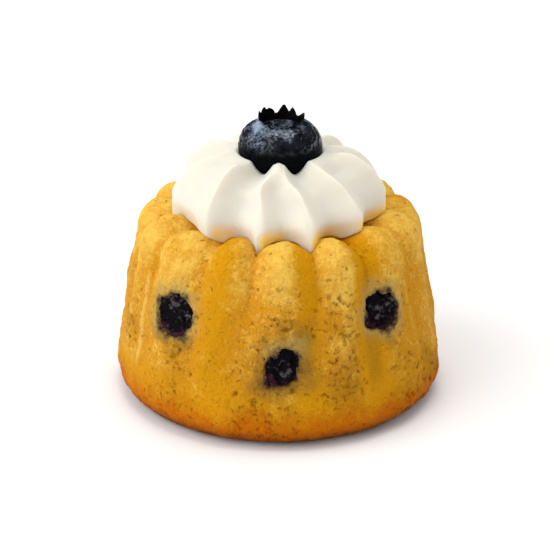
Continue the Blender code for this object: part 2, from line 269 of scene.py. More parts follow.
class CreamSettings(bpy.types.PropertyGroup):
    """Sizes and colours of the whipped cream."""

    dome_centre: length("Dome centre", "Radius of the middle of the arc of a ridge's back", 11.5 * MM)
    dome_foot: length("Dome foot", "Height of the middle of the arc of a ridge's back", 41.0 * MM)
    dome_radius: length("Dome radius", "Radius of the arc of a ridge's back", 11.0 * MM)
    flute_depth: length("Flute depth", "Depth of the flutes between the ridges", 2.7 * MM)
    rim_radius: length("Rim radius", "Radius of the ridges' inner ends", 9.8 * MM)
    contact_radius: length("Contact radius", "Radius where a ridge meets the cake", 21.9 * MM)
    drape_top: length("Drape top", "Height below which the cream follows the cake", 48.0 * MM)
    curl: length("Curl", "How far the edge turns in under itself between two ridges", 0.6 * MM)
    unevenness: length("Unevenness", "Depth of the soft unevenness of the surface", 0.14 * MM)
    cream_colour: colour("Cream colour", "Colour of the cream", (0.752, 0.718, 0.635))
    # painted bounce light: the crumb's warm colour laid on cream low over the lobes that faces down and away
    # from the key light
    bounce_colour: colour("Warm colour", "Underside of the cream, close to the crumb", (1.0, 0.67, 0.13))


class BlueberrySettings(bpy.types.PropertyGroup):
    """Sizes and colours of the whole blueberry on top."""

    radius: length("Radius", "Radius of the widest ring", (BERRY_HIGH.x - BERRY_LOW.x) / 2)
    middle: length("Middle", "Height of the widest ring", BERRY_LOW.z + 5.7 * MM)
    above: length("Above", "From the widest ring to the top", 6.4 * MM)
    below: length("Below", "From the widest ring to the foot", 5.7 * MM)
    crown_radius: length("Crown radius", "Radius of the dried flower", 4.8 * MM)
    crown_floor: length("Crown floor", "Height of the sunken middle of the dried flower", 57.2 * MM)
    wrinkles: length("Wrinkles", "Depth of the wrinkles in the skin", 0.16 * MM)
    dent_depth: length("Dent depth", "Depth of the dents in the skin", 0.18 * MM)
    skin_colour: colour("Skin colour", "Bare skin", (0.002, 0.0025, 0.004))
    navy_colour: colour("Navy colour", "Skin under a thin bloom", (0.008, 0.013, 0.032))
    bloom_colour: colour("Bloom colour", "Waxy bloom", (0.30, 0.38, 0.47))
    flower_colour: colour("Flower colour", "Dried flower", (0.003, 0.0025, 0.003))


class BakedSettings(bpy.types.PropertyGroup):
    """Sizes and colours of the blueberries baked into the side."""

    sink: length("Sink", "Depth of a berry's middle below the crust", 2.9 * MM)
    inset: length("Inset", "Depth of the burst face below the crust", 0.6 * MM)
    lumps: length("Lumps", "Depth of the lumps and folds of the burst face", 0.5 * MM)
    skin_colour: colour("Skin colour", "Wet skin", (0.004, 0.003, 0.005))
    pulp_colour: colour("Pulp colour", "Burst pulp", (0.042, 0.01, 0.022))
    grey_colour: colour("Grey colour", "Dried patches", (0.125, 0.105, 0.115))


class StageSettings(bpy.types.PropertyGroup):
    """The camera, the lights and the floor."""

    elevation: number("Elevation", "Angle of the camera above the horizon, in degrees", 23.6)
    distance: length("Distance", "From the camera to the middle of the cake", 0.401)
    middle_height: length("Middle height", "Height of the middle of the cake", 22.0 * MM)
    aim_right: length("Aim right", "How far the camera aims to the right of the middle", 0.215 * MM)
    aim_up: length("Aim up", "How far the camera aims above the middle", 0.73 * MM)
    lens: number("Lens", "Focal length in millimetres", 120)
    sky: number("Sky", "Brightness of the even light from all round", 0.655)
    glint: number("Glint", "Brightness of that light where a glossy skin mirrors it", 0.12)
    key: FloatProperty(name="Key", description="Power of the light at the left", default=28.5, unit="POWER")
    fill: FloatProperty(name="Fill", description="Power of the light from above", default=16.0, unit="POWER")
    floor_colour: colour("Floor colour", "Colour of the floor", (0.93, 0.93, 0.93))


# ---- shapes: common


def ramp(value, low, high):
    """The S-curve 3 t squared less 2 t cubed, where t goes from 0 at the first limit to 1 at the second."""
    t = np.clip((value - low) / (high - low), 0, 1)
    return t * t * (3 - 2 * t)


def mix(first, second, share):
    """The value this share of the way from the first to the second."""
    return first + (second - first) * share


def place_round(angle, radius, height):
    """Points at these angles about the axis, radii and heights: x is the radius times the angle's sine, and y
    less the radius times its cosine."""
    x, y, z = np.broadcast_arrays(radius * np.sin(angle), -radius * np.cos(angle), height)
    return np.stack([x, y, z], axis=-1)


def all_round(count):
    """The angles of this many columns of a grid, evenly spaced round the axis."""
    return np.linspace(0, math.tau, count, endpoint=False)[None, :]


def round_of(points):
    """The angle and the radius of each point: the reverse of place_round."""
    return np.arctan2(points[..., 0], -points[..., 1]), np.hypot(points[..., 0], points[..., 1])


def degrees_from(middle, angle):
    """Degrees from this middle, itself in degrees, round to an angle in radians: from -180 to 180."""
    return (np.degrees(angle) - middle + 180) % 360 - 180


def facing(points):
    """The direction out of a grid at each point, of length 1: the step down crossed with the one round."""
    down = np.gradient(points, axis=0)
    across = np.roll(points, -1, axis=1) - np.roll(points, 1, axis=1)
    out = np.cross(down, across)
    return out / np.maximum(np.linalg.norm(out, axis=-1, keepdims=True), 1e-12)


def lumps(points, size, seed):
    """Smooth noise of about -1 to 1: each corner of a lattice of cubes of this size has a random slope, and
    the heights of the slopes at a cube's eight corners are blended inside it with an S-curve."""
    slopes = np.random.default_rng(seed).normal(size=(LATTICE, LATTICE, LATTICE, 3))
    slopes /= np.linalg.norm(slopes, axis=-1, keepdims=True)
    place = points / size
    cell = np.floor(place).astype(int)
    inside = place - cell
    blend = inside**3 * (inside * (inside * 6 - 15) + 10)
    total = np.zeros(points.shape[:-1])
    for corner in itertools.product((0, 1), repeat=3):
        i, j, k = np.moveaxis((cell + corner) % LATTICE, -1, 0)
        weight = np.where(corner, blend, 1 - blend).prod(axis=-1)
        total += weight * ((inside - corner) * slopes[i, j, k]).sum(axis=-1)
    return 1.6 * total


def rough(points, size, octaves, seed):
    """Noise with finer noise on it: each further layer is half the size and half as deep."""
    return sum(lumps(points, size / 2**step, seed + step) / 2**step for step in range(octaves))


def bubbles(points, spacing, seed):
    """Each cube of a lattice has one bubble's middle at a random place in it. Returns the distance of each
    point to the nearest middle, as a share of the spacing, and that bubble's own random number, 0 to 1."""
    draw = np.random.default_rng(seed)
    middles = draw.random((LATTICE, LATTICE, LATTICE, 3))
    own = draw.random((LATTICE, LATTICE, LATTICE))
    place = points / spacing
    cell = np.floor(place).astype(int)
    nearest = np.full(points.shape[:-1], np.inf)
    luck = np.zeros(points.shape[:-1])
    for step in itertools.product((-1, 0, 1), repeat=3):
        i, j, k = np.moveaxis((cell + step) % LATTICE, -1, 0)
        distance = np.linalg.norm(cell + step + middles[i, j, k] - place, axis=-1)
        closer = distance < nearest
        nearest = np.where(closer, distance, nearest)
        luck = np.where(closer, own[i, j, k], luck)
    return nearest, luck


def add(name, data):
    """A new object in the scene, of this mesh, lamp or camera."""
    made = bpy.data.objects.new(name, data)
    bpy.context.scene.collection.objects.link(made)
    return made


def surface(name, points, attributes, box=None):
    """A closed, smooth mesh object through a grid of points, kept inside the box. Fans of triangles close it,
    to a point in the middle of its first row and one in the middle of its last. Attributes are values at the
    points, by name."""
    if box:
        points = np.clip(points, *box)
    rows, columns, _ = points.shape
    here = np.arange(columns)
    there = (here + 1) % columns
    row = columns * np.arange(rows - 1)[:, None]
    below = row + columns
    quads = np.stack([row + here, below + here, below + there, row + there], axis=-1)
    last = columns * (rows - 1)
    pole = rows * columns + 0 * here
    fans = np.stack([pole, here, there, last + here, pole + 1, last + there], axis=-1)
    mesh = bpy.data.meshes.new(name)
    vertices = np.concatenate([points.reshape(-1, 3), points[[0, -1]].mean(axis=1)])
    mesh.from_pydata(vertices.tolist(), [], quads.reshape(-1, 4).tolist() + fans.reshape(-1, 3).tolist())
    for label, values in attributes.items():
        values = np.broadcast_to(values, (rows, columns))
        stored = mesh.attributes.new(label, "FLOAT", "POINT")
        stored.data.foreach_set("value", np.append(values, values[[0, -1]].mean(axis=1)).astype(np.float32))
    mesh.shade_smooth()
    return add(name, mesh)


def dress(piece, material, slot, *nodes):
    """Gives a piece its material, and lets it stand for these nodes of the frame."""
    piece.data.materials.append(material)
    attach(piece, "root")
    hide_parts(*nodes)


# ---- shapes: sponge


def top_height(cake, radius):
    """Height of the top along a lobe: an S-curve from the dish up to the crest, and level outside it."""
    return mix(cake.dish_height, cake.crest_height, ramp(radius, DISH_RADIUS, cake.crest_radius))


def side_radius(cake, height):
    """Radius of the side along a lobe: a straight line from the shoulder to the foot, with a slight bulge."""
    down = (cake.shoulder_height - height) / (cake.shoulder_height - cake.foot_radius)
    return mix(cake.shoulder_radius, cake.base_radius, down) + SIDE_BULGE * 4 * down * (1 - down)


def sponge_outline(cake):
    """(radius, height) of each row along a lobe: the dish, a quarter ellipse from the crest to the shoulder,
    the side, a quarter circle round the foot, and the underside. Rows are far apart where they are hidden."""
    hidden = np.linspace(1.5 * MM, 19.5 * MM, 10)
    top = np.append(hidden, np.linspace(20 * MM, cake.crest_radius, 9, endpoint=False))
    turn = np.linspace(0, math.pi / 2, 32, endpoint=False)
    shoulder = mix(cake.crest_radius, cake.shoulder_radius, np.sin(turn))
    shoulder_height = mix(cake.shoulder_height, cake.crest_height, np.cos(turn))
    side = np.linspace(cake.shoulder_height, cake.foot_radius, 83, endpoint=False)
    bend = np.linspace(0, math.pi / 2, 24)
    foot = cake.base_radius - cake.foot_radius * (1 - np.cos(bend))
    foot_height = cake.foot_radius * (1 - np.sin(bend))
    under = np.linspace(27 * MM, 2 * MM, 5)
    radius = np.concatenate([top, shoulder, side_radius(cake, side), foot, under])
    height = np.concatenate([top_height(cake, top), shoulder_height, side, foot_height, 0 * under])
    return radius[:, None], height[:, None]


def wobbled(angle, height):
    """The angle, shifted so that each lobe has its own width, and turned with the lobes at this height."""
    twist = LOBE_TWIST * ramp(height, TWIST_LOW, TWIST_HIGH)
    return angle + twist + LOBE_WOBBLE * np.sin(WOBBLE_WAVES * angle + WOBBLE_START)


def unwobbled(angle, height):
    """The angle that the wobble shifts to this one, found by three corrections."""
    before = angle
    for _ in range(3):
        before = angle - (wobbled(before, height) - before)
    return before


def valley(cake, angle):
    """0 on a lobe's crest, 1 between two lobes: a power of the distance, for an angle before the wobble."""
    lobes = angle * cake.lobes / math.tau
    return (2 * np.abs(lobes - np.round(lobes))) ** FLUTE_ROUNDNESS


def soft_valley(cake, angle, height):
    """The same, but down the side the crease between two lobes fades, and a cosine wave is left."""
    wave = (1 - np.cos(angle * cake.lobes)) / 2
    return mix(wave, valley(cake, angle), CREASE * ramp(height, CREASE_LOW, CREASE_HIGH))


def flute_depth(cake, radius, height):
    """Depth of a flute: it fades towards the dish with an S-curve, and down the side with a power."""
    inner = ramp(radius, FLUTE_END, cake.crest_radius)
    up = np.maximum(0, (height - FLUTE_FOOT) / (cake.crest_height - FLUTE_FOOT))
    on_top = (radius < cake.crest_radius) & (height > cake.shoulder_height)
    return cake.flute_depth * np.where(on_top, inner, up**FLUTE_FADE)


def outward(cake, radius, height):
    """The outline's outward direction, as (radial, up): level on the side, straight up on the top, and square
    to the ellipse of the shoulder and to the circle of the foot."""
    wide = cake.shoulder_radius - cake.crest_radius
    tall = cake.crest_height - cake.shoulder_height
    across = np.maximum(0, radius - cake.crest_radius) / wide**2
    rise = np.maximum(0, height - cake.shoulder_height) / tall**2
    reach = np.maximum(0, radius - (cake.base_radius - cake.foot_radius)) / cake.foot_radius
    drop = height / cake.foot_radius - 1
    where = [height < cake.foot_radius, height > cake.shoulder_height]
    radial, up = np.select(where, [reach, across], 1), np.select(where, [drop, rise], 0)
    size = np.hypot(radial, up)
    return radial / size, up / size


def cake_top(cake, angle, radius):
    """Height of the fluted top at any angle."""
    angle = unwobbled(angle, cake.crest_height)
    return top_height(cake, radius) - flute_depth(cake, radius, cake.crest_height) * valley(cake, angle)


def baked_place(name):
    """A baked berry's angle, and the height and radius of its ball, which its solid's box gives."""
    low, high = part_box("baked_berry_" + name)
    return math.radians(BAKED[name][0]), (low.z + high.z) / 2, (high.z - low.z) / 2


def mouth_distance(cake, points, name):
    """Distance over the crust from the middle of a baked berry's mouth, 1 at its torn edge: the power mean of
    the distances along its two half sizes, after noise has bent them."""
    _, height, _ = baked_place(name)
    middle, half_width, half_height, turned, power = BAKED[name]
    seed = 40 + 7 * list(BAKED).index(name)
    across = side_radius(cake, height) * np.radians(degrees_from(middle, round_of(points)[0]))
    across = across + TEAR_DEPTH * rough(points, TEAR_SIZE, 3, seed)
    rise = points[..., 2] - height + TEAR_DEPTH * rough(points, TEAR_SIZE, 3, seed + 3)
    turned = math.radians(turned)
    first = np.abs(across * math.cos(turned) - rise * math.sin(turned)) / (half_width * MM)
    second = np.abs(across * math.sin(turned) + rise * math.cos(turned)) / (half_height * MM)
    return (first**power + second**power) ** (1 / power)


def rich_and_shade_bands(angle):
    """How deeply the crust is coloured at this angle, partly as painted shade: the sum of the bands' bell
    curves.
    """
    return sum(deep * np.exp(-((degrees_from(middle, angle) / width) ** 2)) for middle, width, deep in RICH_AND_SHADE)


def seams(angle, height):
    """How far the seams stand out: a bell curve across each, faded in and out along it with S-curves."""
    total = 0
    for middle, width, low, high, out in SEAMS:
        off = degrees_from(middle, angle) + 1.2 * np.sin(height / (5 * MM) + middle)
        along = ramp(height / MM, low, low + 6) * ramp(height / MM, high, high - 6)
        total = total + out * MM * np.exp(-((off / width) ** 2)) * along
    return total


def sponge(cake):
    """The outline turned about the axis, with flutes of uneven depth cut in. On that lie broad lumps, seams,
    fine crumb, crowds of torn pores, and a ragged pocket at each baked berry."""
    radius, height = sponge_outline(cake)
    angle = all_round(cake.columns)
    groove = soft_valley(cake, angle, height)
    uneven = 1 + 0.13 * np.sin(4 * angle + 1.0) + 0.10 * np.sin(9 * angle + 2.2)
    cut = flute_depth(cake, radius, height) * groove * uneven
    radial, up = outward(cake, radius, height)
    turned = wobbled(angle, height)
    points = place_round(turned, radius - cut * radial, height - cut * up)
    broad = cake.unevenness * (rough(points, LUMP_SIZE, 3, 1) - 0.15)
    fine = cake.crumb * (rough(points, CRUMB_SIZE, 3, 11) - 0.15)
    mouths = {name: mouth_distance(cake, points, name) for name in BAKED}
    near = np.min(list(mouths.values()), axis=0)
    rich_and_shade = rich_and_shade_bands(turned) * ramp(height, 0, 10 * MM)
    crowd = ramp(0.42 + 0.9 * rough(points, 24 * MM, 2, 44), 0, 1) + 0.5 * ramp(near, PORES_REACH, 1)
    crowd = crowd * (1 - 0.8 * rich_and_shade) * (1 - 0.7 * ramp(height, 31 * MM, 37 * MM))
    distance, luck = bubbles(points, PORE_SPACING, 21)
    distance = distance * (1 + 0.5 * lumps(points, 1.3 * MM, 23))
    hole_size = 0.20 + 0.26 * (luck * 7.3 % 1) ** 2
    hole = np.sqrt(np.clip(1 - (distance / hole_size) ** 2, 0, 1)) * (luck < 0.02 + 0.34 * crowd)
    island = 0.3 * np.maximum(0, lumps(points, 1.8 * MM, 31))
    pocket = ramp(near + island, 1.06, 0.86)
    seam = seams(turned, height)
    depth = broad + fine * (1 - 0.5 * rich_and_shade) - cake.pore_depth * hole + seam - cake.pocket_depth * pocket
    depth = depth * ramp(points[..., 2], 0, 2.5 * MM)
    points = points + facing(points) * depth[..., None]
    attributes = {
        "valley": groove * ramp(height, 0, 20 * MM),
        "pit": hole,
        "stain": np.clip((STAIN_REACH - near) / (STAIN_REACH - 1), 0, 1),
        "crowd": crowd,
        "rich_and_shade": rich_and_shade,
        "seam": seam / TALLEST_SEAM,
        "damp": ramp(mouths["front"], DAMP_REACH, DAMP_FULL),
    }
    return surface("sponge", points, attributes, (CAKE_LOW, CAKE_HIGH))


# ---- shapes: cream


def berry_point(berry, turn, gap=0.0):
    """(radius, height) at this turn from the berry's top, or a gap outside it: an ellipse made squarer, whose
    lower half is as deep as the berry's underside."""
    out = np.sin(turn) ** (2 / BERRY_SQUARENESS)
    up = np.sign(np.cos(turn)) * np.abs(np.cos(turn)) ** (2 / BERRY_SQUARENESS)
    half = np.where(up > 0, berry.above, berry.below)
    return (berry.radius + gap) * out, berry.middle + (half + gap) * up


def from_rim(cream, radius):
    """0 at the rim of the well, and 1 a little way outside it."""
    return ramp(radius, cream.rim_radius, cream.rim_radius + RIM_BLEND)


def ridge_at(cream, angle, radius):
    """Bends evenly spaced columns to where the ridges were piped. Returns the new angle, how far the back and
    the foot stand out, the flute, and the degrees to the nearest ridge. The flute is half a sine wave, 0 on a
    ridge and rounded there, 1 midway. It is shallower between close ridges and has its own depth at the rim.
    """
    inner, outer, bow, back, foot, rim_share, foot_share = np.array(RIDGES).T
    place = (angle / math.tau) % 1 * len(RIDGES)
    first = np.floor(place).astype(int)
    across = place - first
    after = (first + 1) % len(RIDGES)
    lean = ramp(radius, cream.rim_radius, cream.contact_radius)
    here, there = (mix(inner[k], outer[k], lean) + bow[k] * 4 * lean * (1 - lean) for k in (first, after))
    there = there + np.where(there < here, 360, 0)
    away = from_rim(cream, radius)
    rounding = mix(RIM_ROUNDING, RIDGE_ROUNDING, away)
    wave = (np.hypot(np.sin(math.pi * across), rounding) - rounding) / (np.hypot(1, rounding) - rounding)
    depth = mix(rim_share[first], foot_share[first] * np.minimum(1, (there - here) / FLUTE_WIDTH) ** 2, away)
    beside = np.minimum(across, 1 - across) * (there - here)
    back, foot = (mix(out[first], out[after], across) * MM for out in (back, foot))
    return np.radians(mix(here, there, across)), back, foot, depth * wave, beside


def cream_well(cream, berry, angle):
    """Rows up the well round the berry, which ends on it just below the height of the ridges' inner ends, and
    from there over a low arch to them."""
    angle, _, _, flute, _ = ridge_at(cream, angle, cream.rim_radius + 0 * angle)
    rim = cream.dome_foot + cream.dome_radius + GAP - cream.flute_depth * flute
    down = (berry.middle - rim + WELL_DROP) / berry.below
    reach = 1 - np.arccos(-(down ** (BERRY_SQUARENESS / 2))) / math.pi
    up = np.linspace(0.15, 1, 9)[:, None]
    radius, height = berry_point(berry, math.pi * (1 - reach * up), WELL_GAP)
    share = np.linspace(0.12, 0.88, 9)[:, None]
    arch = WELL_ARCH * np.sin(math.pi * share)
    edge_radius = mix(radius[-1:], cream.rim_radius, share)
    edge_height = mix(height[-1:], rim, ramp(share, 0, 1) ** 0.7) + arch
    return place_round(angle, np.concatenate([radius, edge_radius]), np.concatenate([height, edge_height]))


def cream_back(cake, cream, angle):
    """Rows over the ridges' backs, an arc from the rim to the foot, and down to the cake. The flutes are cut
    square to the arc. Low down a ridge flares out to its foot, less so beside it, and gets blunter. Lower
    still the surface follows the cake's lobes more and more, and near the ridges it sags into the cake's
    flutes. The edge turns in under itself by a power of the height left."""
    level = np.linspace(0, 1, 6, endpoint=False)
    turn = np.linspace(0, math.pi / 2, 84)
    bend = np.linspace(0, math.pi / 2, 14)[1:]
    underside = cake.dish_height + GAP
    drop = cream.dome_foot - underside
    arc = cream.dome_centre + cream.dome_radius * np.sin(turn)
    flat = mix(cream.rim_radius, cream.dome_centre, level)
    radius = np.concatenate([flat, arc, arc[-1] + 0 * bend])[:, None]
    arc = cream.dome_foot + cream.dome_radius * np.cos(turn)
    height = np.concatenate([arc[0] + GAP * (1 - level), arc, cream.dome_foot - drop * np.sin(bend)])[:, None]
    under = np.maximum(0, (cream.dome_foot - height) / drop)
    angle, back, foot, flute, beside = ridge_at(cream, angle, radius)
    out = np.maximum(1e-9, radius - cream.dome_centre)
    rise = np.maximum(0, height - cream.dome_foot)
    size = np.hypot(out, rise)
    back = back * from_rim(cream, radius)
    low = ramp(rise, DOME_BLEND, 0)
    flute = np.where(flute > 0, np.abs(flute) ** (1 + FOOT_WIDENING * low), flute)
    lift = mix(back, foot, mix(1, FLARE_LEFT, flute) * low) - cream.flute_depth * flute
    radius = radius + lift * out / size
    height = height + lift * rise / size
    droop = 1 - np.clip((height - underside) / (cream.drape_top - underside), 0, 1)
    lobe_top = top_height(cake, radius)
    hollow = lobe_top - cake_top(cake, angle, radius)
    sag = hollow * mix((1 - flute) ** 3, 1, under**2) * ramp(beside, 13, 4)
    height = height + droop * (lobe_top - sag - OVERLAP - underside)
    left = np.clip((height - lobe_top) / TUCK_HEIGHT, 0, 1)
    radius = radius - cream.curl * np.clip(2 * flute, 0.1, 1) * (1 - left) ** 1.4
    return place_round(angle, radius, height)


def whipped_cream(cake, cream, berry):
    """The well, the backs of the ridges and the underside, which lies on the cake, with a soft unevenness."""
    angle = all_round(len(RIDGES) * RIDGE_COLUMNS)
    back = cream_back(cake, cream, angle)
    around, edge = round_of(back[-1])
    edge = edge * np.linspace(0.9, 0.1, 6)[:, None]
    under = place_round(around, edge, cake_top(cake, around, edge) - OVERLAP)
    above = np.concatenate([cream_well(cream, berry, angle), back])
    soft = cream.unevenness * (rough(above, CREAM_SIZE, 2, 61) + 0.15 * rough(above, 1.6 * MM, 2, 65))
    calm = ramp(round_of(above)[1], berry.radius, berry.radius + 2 * MM)
    above = above + facing(above) * (soft * calm)[..., None]
    points = np.concatenate([above, under])
    radius = round_of(points)[1]
    # Painted bounce light and shade: low over the lobes, cream that faces down and away from the key light
    # takes the crumb's warm colour.
    clear = points[..., 2] - top_height(cake, radius)
    out = facing(points)
    shaded = ramp(out @ SHADE, -0.4, 0.2) * ramp(out[..., 2], 0.8, 0)
    painted_bounce = (1 - np.clip(clear / BOUNCE_HEIGHT, 0, 1)) ** 1.1 * shaded
    points[..., 0] += BERRY_RIGHT * (1 - from_rim(cream, radius))
    return surface("whipped_cream", points, {"painted_bounce": painted_bounce}, (CREAM_LOW, CREAM_HIGH))


# ---- shapes: blueberry


def crown_rise(angle):
    """How far the dried flower's rim and points stand up at this angle, and how far they lean outwards."""
    rise = CROWN_BACK * (1 - np.cos(angle)) / 2
    lean = 0 * angle
    for middle, height, half_width, out, sharp in CROWN_POINTS:
        off = np.abs(degrees_from(middle, angle))
        point = height * MM * np.maximum(0, 1 - off / half_width) ** sharp
        lean = np.where(point > rise, out, lean)
        rise = np.maximum(rise, point)
    return rise, lean


def dents(berry, points):
    """Depth of the dents in the skin: a bowl with a raised edge, (1 - d) (1 + d) times a bell curve of d, the
    distance from its middle in radii."""
    angle, _ = round_of(points)
    total = 0
    for middle, height, radius in DENTS:
        across = np.radians(degrees_from(middle, angle)) * berry.radius
        distance = np.hypot(across, points[..., 2] - height * MM) / (radius * MM)
        total = total + (1 - distance**2) * np.exp(-(distance**2))
    return total


def bloom_patches(berry, points):
    """How thick the bloom is: the sum of the patches' bell curves of the distance from their middles."""
    total = 0
    for angle, height, radius, thick in BLOOM:
        out = (1 - ((height * MM - berry.middle) / berry.above) ** BERRY_SQUARENESS) ** (1 / BERRY_SQUARENESS)
        middle = place_round(math.radians(angle), berry.radius * out, height * MM)
        distance = np.linalg.norm(points - middle, axis=-1) / (radius * MM)
        total = total + thick * np.exp(-(distance**2))
    return total


def turn_at(berry, radius):
    """The turn from the berry's top at which its upper half has this radius."""
    return np.arcsin((radius / berry.radius) ** (BERRY_SQUARENESS / 2))


def blueberry(berry):
    """The sunken floor of the dried flower, its thin wall with its points, and the skin: the squared ellipse
    turned about the axis, with wrinkles and dents cut in."""
    angle = all_round(BERRY_COLUMNS)
    rise, lean = crown_rise(angle)
    inner = berry.crown_radius - CROWN_WALL
    across = np.linspace(0.05, 0.98, 14)[:, None] * inner
    floor = place_round(angle, across, berry.crown_floor + CROWN_BOWL * (across / inner) ** 4)

    up = np.linspace(0.1, 1, 12)[:, None]
    tip = berry.crown_radius - CROWN_WALL / 2 + lean * rise
    top = berry_point(berry, turn_at(berry, berry.crown_radius))[1] + rise
    inside = place_round(angle, mix(inner, tip, up**1.5), mix(berry.crown_floor + CROWN_BOWL, top, up))
    down = np.linspace(0, 1, 14)[1:-1, None]
    base_turn = turn_at(berry, berry.crown_radius + CROWN_FOOT)
    base, base_height = berry_point(berry, base_turn)
    outside_height = mix(top - 0.03 * MM, base_height, 1 - (1 - down) ** 1.4)
    outside = place_round(angle, mix(tip + 0.2 * MM, base, down**1.2), outside_height)
    turn = np.linspace(base_turn, math.pi, 130, endpoint=False)[:, None]
    points = np.concatenate([floor, inside, outside, place_round(angle, *berry_point(berry, turn))])

    flower = len(floor) + len(inside)
    row = np.arange(len(points))[:, None]
    on_skin = ramp(row - flower - len(outside), 0, 8)
    wrinkled = ramp(0.55 + 0.9 * lumps(points, 8 * MM, 75), 0, 1)
    wrinkled = wrinkled + 0.6 * ramp(facing(points)[..., 0], 0.125, -0.625)
    creases = 1 - np.abs(rough(points, WRINKLE_SIZE, 2, 71))
    relief = berry.wrinkles * wrinkled * (0.9 * creases**5 + 0.7 * rough(points, GRAIN_SIZE, 2, 79))
    relief = relief + berry.dent_depth * dents(berry, points)
    petal = 0.10 * MM * np.maximum(0, rough(points, GRAIN_SIZE, 2, 77))
    points = points - facing(points) * mix(petal, relief, on_skin)[..., None]
    attributes = {
        # painted glints: the dried flower's floor gets a share of bloom colour
        "bloom": np.where(row < flower, 0.48 * (row < len(floor)), bloom_patches(berry, points)),
        "flower": np.where(row < len(floor), 0.3, ramp(row - flower, 2, -1)),
        "glossy": ramp(points[..., 2], berry.middle + 0.5 * MM, berry.middle + 3 * MM) * on_skin,
    }
    points[..., 0] += BERRY_RIGHT
    return surface("blueberry", points, attributes, (BERRY_LOW, BERRY_HIGH))


# ---- shapes: baked blueberries


def baked_blueberry(cake, baked, name):
    """A ball sunk in the cake, its axis pointing outwards, with lumps and folds. Where it would stand out of
    the cake it is pressed back to a ragged face just below the crust."""
    angle, height, radius = baked_place(name)
    seed = 140 + 9 * list(BAKED).index(name)
    middle = side_radius(cake, height) - baked.sink
    turn = np.linspace(0.03, math.pi, 90, endpoint=False)[:, None]
    spin = all_round(BAKED_COLUMNS)
    sideways, out, up = np.sin(turn) * np.sin(spin), np.cos(turn) + 0 * spin, np.sin(turn) * np.cos(spin)
    ball = np.stack([sideways, out, up], axis=-1) * radius
    ball = ball * (1 + 0.05 * lumps(ball, 4 * MM, seed)[..., None])
    cos, sin = math.cos(angle), math.sin(angle)
    axes = np.array([(cos, sin, 0), (sin, -cos, 0), (0, 0, 1)])
    points = ball @ axes + middle * axes[1] + height * axes[2]
    around, reach = round_of(points)
    high = points[..., 2]
    groove = flute_depth(cake, cake.base_radius, high) * valley(cake, unwobbled(around, high))
    ragged = baked.inset + baked.lumps * (1.9 * np.abs(rough(points, FOLD_SIZE, 3, seed + 2)) - 0.2)
    face = side_radius(cake, high) - groove - ragged
    points[..., :2] *= (np.minimum(reach, face) / reach)[..., None]
    lower = ramp(high, height + 1.5 * MM, height - 3.5 * MM)
    edge = ramp(mouth_distance(cake, points, name), 0.45, 1) * (0.35 + 0.65 * lower)
    return surface("baked_blueberry_" + name, points, {"edge": edge})


# ---- materials


def maths(operation, swapped=False):
    """A method that joins a value to another, or to a number, with a Math node."""

    def method(self, other):
        first, second = (other, self) if swapped else (self, other)
        return self.shader.node("ShaderNodeMath", {"operation": operation}, {0: first, 1: second})

    return method


class Value:
    """One output of a shader's node, to reckon with like a number."""

    def __init__(self, shader, socket):
        self.shader = shader
        self.socket = socket

    __add__ = __radd__ = maths("ADD")
    __sub__ = maths("SUBTRACT")
    __rsub__ = maths("SUBTRACT", swapped=True)
    __mul__ = __rmul__ = maths("MULTIPLY")
    __truediv__ = maths("DIVIDE")


class Shader:
    """A new material, with the methods that add nodes to it."""

    def __init__(self, name, **finish):
        """Finish holds values for sockets that are even all over, by name, with _ for a space."""
        self.material = bpy.data.materials.new(name)
        self.material.use_nodes = True
        self.tree = self.material.node_tree
        self.skin = self.tree.nodes["Principled BSDF"]
        for label, value in finish.items():
            self.skin.inputs[label.replace("_", " ")].default_value = value
        self.place = self.node("ShaderNodeTexCoord", {}, {}, "Object")

    def node(self, kind, settings, sockets, output=0):
        """Adds a node, makes its settings, then fills its sockets, and returns one of its outputs."""
        made = self.tree.nodes.new(kind)
        for label, value in settings.items():
            setattr(made, label, value)
        for label, value in sockets.items():
            self.feed(made.inputs[label], value)
        return Value(self, made.outputs[output])

    def feed(self, socket, value):
        """Links a value to a socket, or sets a number or colour on it."""
        if isinstance(value, Value):
            self.tree.links.new(value.socket, socket)
        else:
            socket.default_value = value

    def attribute(self, name):
        return self.node("ShaderNodeAttribute", {"attribute_name": name}, {}, "Fac")

    def height(self):
        return self.node("ShaderNodeSeparateXYZ", {}, {"Vector": self.place}, "Z")

    def noise(self, size, detail=2.0, roughness=0.5, seed=0.0, stretch=(1, 1, 1)):
        """Noise from 0 to 1 with lumps of this size in metres."""
        scaled = {"Vector": self.place, "Location": (seed, seed, 0), "Scale": stretch}
        place = self.node("ShaderNodeMapping", {}, scaled)
        sockets = {"Vector": place, "Scale": 1 / size, "Detail": detail, "Roughness": roughness}
        return self.node("ShaderNodeTexNoise", {}, sockets)

    def cells(self, size):
        """The distance to the nearest point of a pattern of points scattered this far apart."""
        return self.node("ShaderNodeTexVoronoi", {}, {"Vector": self.place, "Scale": 1 / size}, "Distance")

    def ramp(self, value, low, high):
        """The same S-curve as the function of this name, worked out in the material."""
        sockets = {"Value": value, "From Min": low, "From Max": high}
        return self.node("ShaderNodeMapRange", {"interpolation_type": "SMOOTHSTEP"}, sockets)

    def blend(self, first, second, share):
        """A colour this share of the way from the first to the second."""
        first, second = (c if isinstance(c, Value) else (*c, 1) for c in (first, second))
        return self.node("ShaderNodeMix", {"data_type": "RGBA"}, {0: share, 6: first, 7: second}, 2)

    def layers(self, colour, *coats):
        """A colour with others laid on it, one after the other, each given with its share."""
        for coat, share in coats:
            colour = self.blend(colour, coat, share)
        return colour

    def bump(self, relief, depth, strength=1.0):
        """Tilts the surface as if relief, from 0 to 1, stood out of it by up to this depth in metres."""
        normal = self.node("ShaderNodeBump", {}, {"Height": relief, "Distance": depth, "Strength": strength})
        self.feed(self.skin.inputs["Normal"], normal)

    def finish(self, colour, roughness):
        self.feed(self.skin.inputs["Base Color"], colour)
        self.feed(self.skin.inputs["Roughness"], roughness)
        return self.material


